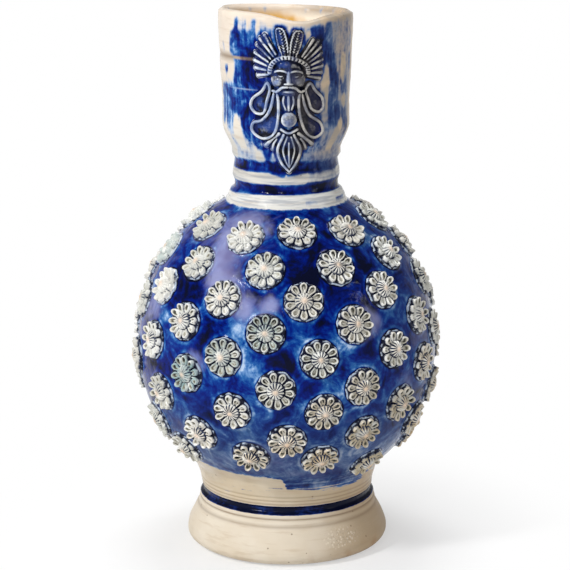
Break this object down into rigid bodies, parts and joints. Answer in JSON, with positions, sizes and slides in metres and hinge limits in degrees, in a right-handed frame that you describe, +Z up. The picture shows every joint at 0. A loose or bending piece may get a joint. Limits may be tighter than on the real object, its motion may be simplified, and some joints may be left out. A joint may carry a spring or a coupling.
{
  "type": "jug",
  "caption": "Ball-bellied salt-glazed stoneware jug with sprigged rosettes, a bearded mask on the neck, a pinched lip and a strap handle.",
  "frame": {"origin": "middle of the foot's flat underside", "axes": "+Z up out of the mouth, -Y towards the pouring lip and the mask, +Y towards the handle"},
  "size_m": [0.1584, 0.1596, 0.2782],
  "materials": {
    "cobalt_salt_glaze": "glossy salt glaze over cobalt blue on grey stoneware",
    "handle_salt_glaze": "glossy salt glaze on grey stoneware with blue in the grooves",
    "mask_salt_glaze": "glossy salt glaze with dark blue in the hollows",
    "sprig_clay": "thin salt glaze on pale grey stoneware"
  },
  "bodies": {
    "root": {"thrown_body": "cobalt_salt_glaze", "strap_handle": "handle_salt_glaze", "mask_relief": "mask_salt_glaze", "rosette_a01": "sprig_clay", "rosette_a02": "sprig_clay", "rosette_a03": "sprig_clay", "rosette_a04": "sprig_clay", "rosette_a05": "sprig_clay", "rosette_a06": "sprig_clay", "rosette_a10": "sprig_clay", "rosette_b01": "sprig_clay", "rosette_b02": "sprig_clay", "rosette_b03": "sprig_clay", "rosette_b04": "sprig_clay", "rosette_b05": "sprig_clay", "rosette_b06": "sprig_clay", "rosette_c01": "sprig_clay", "rosette_c02": "sprig_clay", "rosette_c03": "sprig_clay", "rosette_c04": "sprig_clay", "rosette_c05": "sprig_clay", "rosette_c10": "sprig_clay", "rosette_d01": "sprig_clay", "rosette_d02": "sprig_clay", "rosette_d03": "sprig_clay", "rosette_d04": "sprig_clay", "rosette_d05": "sprig_clay", "rosette_d06": "sprig_clay", "rosette_e01": "sprig_clay", "rosette_e02": "sprig_clay", "rosette_e03": "sprig_clay", "rosette_e04": "sprig_clay", "rosette_e05": "sprig_clay", "rosette_e06": "sprig_clay", "rosette_e10": "sprig_clay", "rosette_f01": "sprig_clay", "rosette_f02": "sprig_clay", "rosette_f03": "sprig_clay", "rosette_f04": "sprig_clay", "rosette_f05": "sprig_clay", "rosette_f06": "sprig_clay", "rosette_g01": "sprig_clay", "rosette_g02": "sprig_clay", "rosette_g03": "sprig_clay", "rosette_g04": "sprig_clay", "rosette_g05": "sprig_clay", "rosette_g10": "sprig_clay", "rosette_h01": "sprig_clay", "rosette_h02": "sprig_clay", "rosette_h03": "sprig_clay", "rosette_h04": "sprig_clay", "rosette_h05": "sprig_clay", "rosette_h06": "sprig_clay", "rosette_h10": "sprig_clay", "rosette_i01": "sprig_clay", "rosette_i02": "sprig_clay", "rosette_i03": "sprig_clay", "rosette_i04": "sprig_clay", "rosette_i05": "sprig_clay", "rosette_i10": "sprig_clay"}
  },
  "joints": []
}
